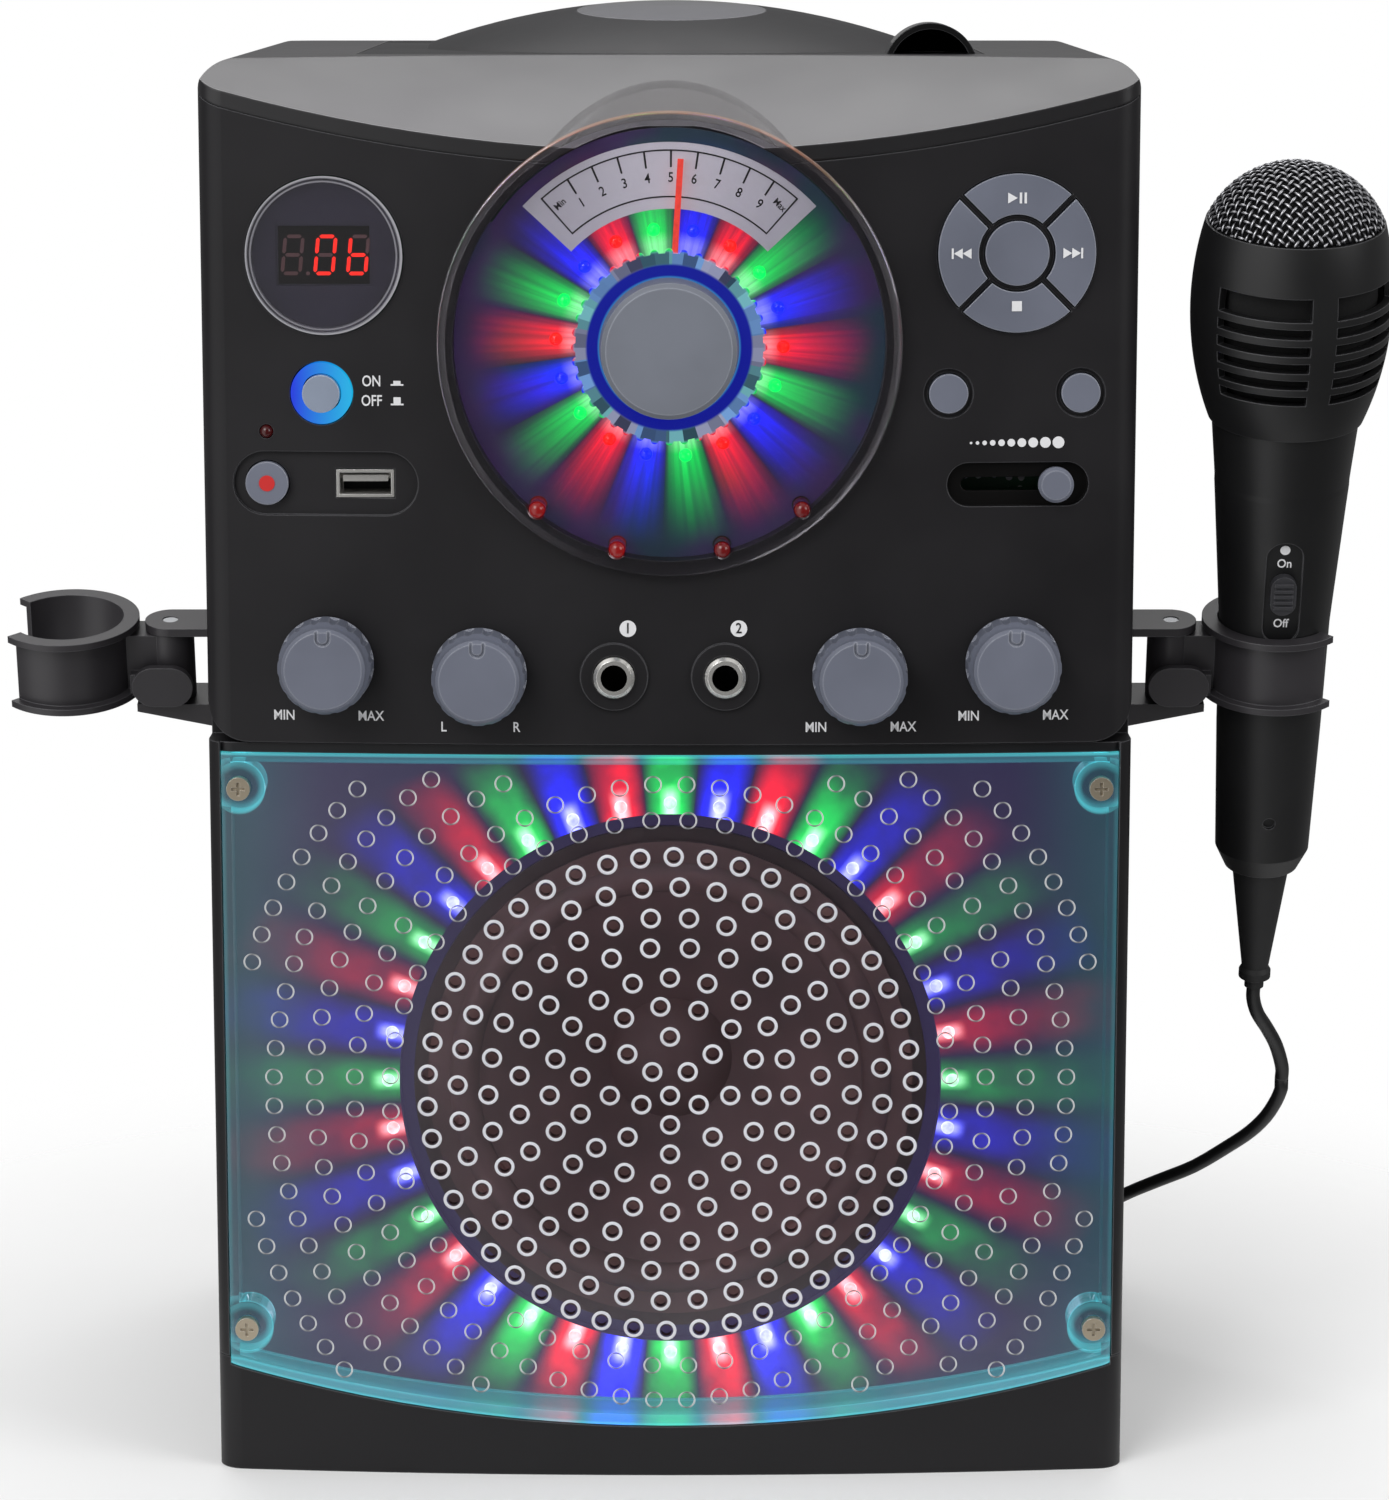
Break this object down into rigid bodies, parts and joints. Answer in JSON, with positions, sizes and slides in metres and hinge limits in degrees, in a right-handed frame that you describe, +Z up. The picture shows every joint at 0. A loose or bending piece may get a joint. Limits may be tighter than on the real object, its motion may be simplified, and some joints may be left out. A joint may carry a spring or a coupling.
{
  "type": "karaoke machine",
  "caption": "Tabletop karaoke machine with a hinged top disc lid, round lit volume dial, front speaker behind a clear perforated cover, swivelling side holders and a corded microphone.",
  "frame": {"origin": "middle of the case's base, on the table", "axes": "+Z up, the front faces -Y, +X to the viewer's right"},
  "size_m": [0.3556, 0.2905, 0.3756],
  "materials": {
    "case_black": "satin",
    "lid_black": "satin",
    "gloss_black": "gloss",
    "smoke_plastic": "gloss",
    "violet_clear": "gloss",
    "clear_plastic": "gloss",
    "rubber": "matte",
    "steel": "brushed",
    "motor_steel": "satin",
    "nickel": "polished",
    "drive_black": "satin",
    "gear_white": "satin",
    "scale_silver": "satin",
    "needle_red": "satin",
    "light_plastic": "emissive",
    "knob_slate": "satin",
    "board_green": "satin",
    "reflector_violet": "metallic",
    "cone_paper": "matte",
    "holder_black": "satin",
    "mic_black": "satin",
    "mic_mesh": "satin"
  },
  "bodies": {
    "case": {"base_tray": "case_black", "rubber_feet": "rubber", "cabinet": "case_black", "rear_sockets": "nickel", "case_screws": "steel", "top_deck": "case_black", "disc_tray": "case_black", "steel_pins": "steel", "drive_motors": "motor_steel", "front_panel": "case_black", "dial_lens": "violet_clear", "scale_plate": "scale_silver", "lights": "light_plastic", "display_lens": "smoke_plastic", "display_module": "gear_white", "usb_port": "nickel", "mic_jacks": "nickel", "circuit_boards": "board_green", "transformer": "motor_steel", "clear_cover": "clear_plastic", "speaker_baffle": "reflector_violet", "speaker_frame": "motor_steel", "speaker_cone": "cone_paper", "holder_brackets": "holder_black", "cord_drop": "rubber", "cord_run": "rubber", "cord_coil": "rubber", "cord_plug": "nickel"},
    "lid": {"disc_lid": "lid_black", "lid_window": "smoke_plastic", "lid_pull": "gloss_black"},
    "disc_drive": {"turntable": "drive_black"},
    "sled": {"laser_sled": "drive_black"},
    "sled_drive": {"sled_gear": "gear_white"},
    "volume": {"volume_shaft": "steel", "volume_knob": "knob_slate", "volume_skirt": "clear_plastic"},
    "idler": {"idler_gear": "gear_white"},
    "pointer": {"needle": "needle_red"},
    "knob_a": {"left_outer_knob": "knob_slate"},
    "knob_b": {"left_inner_knob": "knob_slate"},
    "knob_c": {"right_inner_knob": "knob_slate"},
    "knob_d": {"right_outer_knob": "knob_slate"},
    "power_key": {"power_button": "light_plastic"},
    "record_key": {"record_button": "knob_slate"},
    "play_key": {"play_button": "knob_slate"},
    "stop_key": {"stop_button": "knob_slate"},
    "back_key": {"back_button": "knob_slate"},
    "next_key": {"next_button": "knob_slate"},
    "middle_key": {"middle_button": "knob_slate"},
    "function_key_a": {"left_function_button": "knob_slate"},
    "function_key_b": {"right_function_button": "knob_slate"},
    "slider": {"slider_knob": "knob_slate"},
    "left_arm": {"left_holder": "holder_black"},
    "right_arm": {"right_holder": "holder_black"},
    "microphone": {"mic_grille": "mic_mesh", "mic_head": "mic_black", "mic_handle": "mic_black", "strain_relief": "rubber"},
    "mic_slide": {"mic_switch": "mic_black"}
  },
  "joints": [
    {"name": "lid_hinge", "type": "hinge", "parent": "case", "child": "lid", "pos_m": [0, 0.0845, 0.359], "axis": [-1, 0, 0], "range_deg": [0, 70]},
    {"name": "disc_spin", "type": "hinge", "parent": "case", "child": "disc_drive", "pos_m": [0, 0.012, 0.35], "axis": [0, 0, 1], "continuous": true},
    {"name": "laser_slide", "type": "slide", "parent": "case", "child": "sled", "axis": [1, 0, 0], "range_m": [0, 0.031]},
    {"name": "sled_gear_turn", "type": "hinge", "parent": "case", "child": "sled_drive", "pos_m": [0.047, 0.0359, 0.34], "axis": [0, 0, 1], "range_deg": [0, 375]},
    {"name": "volume_turn", "type": "hinge", "parent": "case", "child": "volume", "pos_m": [0, -0.1, 0.2929], "axis": [0, 1, 0], "range_deg": [-144.7, 121.3]},
    {"name": "idler_turn", "type": "hinge", "parent": "case", "child": "idler", "pos_m": [0, -0.09, 0.2737], "axis": [0, 1, 0], "range_deg": [-61, 73]},
    {"name": "needle_turn", "type": "hinge", "parent": "case", "child": "pointer", "pos_m": [0, -0.1, 0.2929], "axis": [0, 1, 0], "range_deg": [-44, 37]},
    {"name": "left_outer_turn", "type": "hinge", "parent": "case", "child": "knob_a", "pos_m": [-0.0865, -0.1, 0.2126], "axis": [0, 1, 0], "range_deg": [-140, 140]},
    {"name": "left_inner_turn", "type": "hinge", "parent": "case", "child": "knob_b", "pos_m": [-0.0479, -0.1, 0.21], "axis": [0, 1, 0], "range_deg": [-140, 140]},
    {"name": "right_inner_turn", "type": "hinge", "parent": "case", "child": "knob_c", "pos_m": [0.0479, -0.1, 0.21], "axis": [0, 1, 0], "range_deg": [-140, 140]},
    {"name": "right_outer_turn", "type": "hinge", "parent": "case", "child": "knob_d", "pos_m": [0.0865, -0.1, 0.2126], "axis": [0, 1, 0], "range_deg": [-140, 140]},
    {"name": "power_press", "type": "slide", "parent": "case", "child": "power_key", "axis": [0, 1, 0], "range_m": [0, 0.003], "stiffness_N_per_m": 150},
    {"name": "record_press", "type": "slide", "parent": "case", "child": "record_key", "axis": [0, 1, 0], "range_m": [0, 0.001], "stiffness_N_per_m": 150},
    {"name": "play_press", "type": "slide", "parent": "case", "child": "play_key", "axis": [0, 1, 0], "range_m": [0, 0.001], "stiffness_N_per_m": 150},
    {"name": "stop_press", "type": "slide", "parent": "case", "child": "stop_key", "axis": [0, 1, 0], "range_m": [0, 0.001], "stiffness_N_per_m": 150},
    {"name": "back_press", "type": "slide", "parent": "case", "child": "back_key", "axis": [0, 1, 0], "range_m": [0, 0.001], "stiffness_N_per_m": 150},
    {"name": "next_press", "type": "slide", "parent": "case", "child": "next_key", "axis": [0, 1, 0], "range_m": [0, 0.001], "stiffness_N_per_m": 150},
    {"name": "middle_press", "type": "slide", "parent": "case", "child": "middle_key", "axis": [0, 1, 0], "range_m": [0, 0.001], "stiffness_N_per_m": 150},
    {"name": "left_function_press", "type": "slide", "parent": "case", "child": "function_key_a", "axis": [0, 1, 0], "range_m": [0, 0.001], "stiffness_N_per_m": 150},
    {"name": "right_function_press", "type": "slide", "parent": "case", "child": "function_key_b", "axis": [0, 1, 0], "range_m": [0, 0.001], "stiffness_N_per_m": 150},
    {"name": "slider_slide", "type": "slide", "parent": "case", "child": "slider", "axis": [1, 0, 0], "range_m": [-0.0215, 0.0025]},
    {"name": "left_holder_swivel", "type": "hinge", "parent": "case", "child": "left_arm", "pos_m": [-0.131, -0.053, 0.2077], "axis": [0, -0.2588, 0.9659], "range_deg": [-45, 45]},
    {"name": "right_holder_swivel", "type": "hinge", "parent": "case", "child": "right_arm", "pos_m": [0.131, -0.053, 0.2077], "axis": [0, -0.2588, 0.9659], "range_deg": [-45, 45]},
    {"name": "mic_lift", "type": "slide", "parent": "right_arm", "child": "microphone", "axis": [0, -0.2588, 0.9659], "range_m": [0, 0.095]},
    {"name": "mic_switch_slide", "type": "slide", "parent": "microphone", "child": "mic_slide", "axis": [0, -0.3306, 0.9438], "range_m": [0, 0.004]}
  ],
  "couplings": [
    {"joint": "sled_gear_turn", "follows": "laser_slide", "rad_per_m": 208.33},
    {"joint": "idler_turn", "follows": "volume_turn", "ratio": -0.5},
    {"joint": "needle_turn", "follows": "volume_turn", "ratio": 0.3}
  ]
}
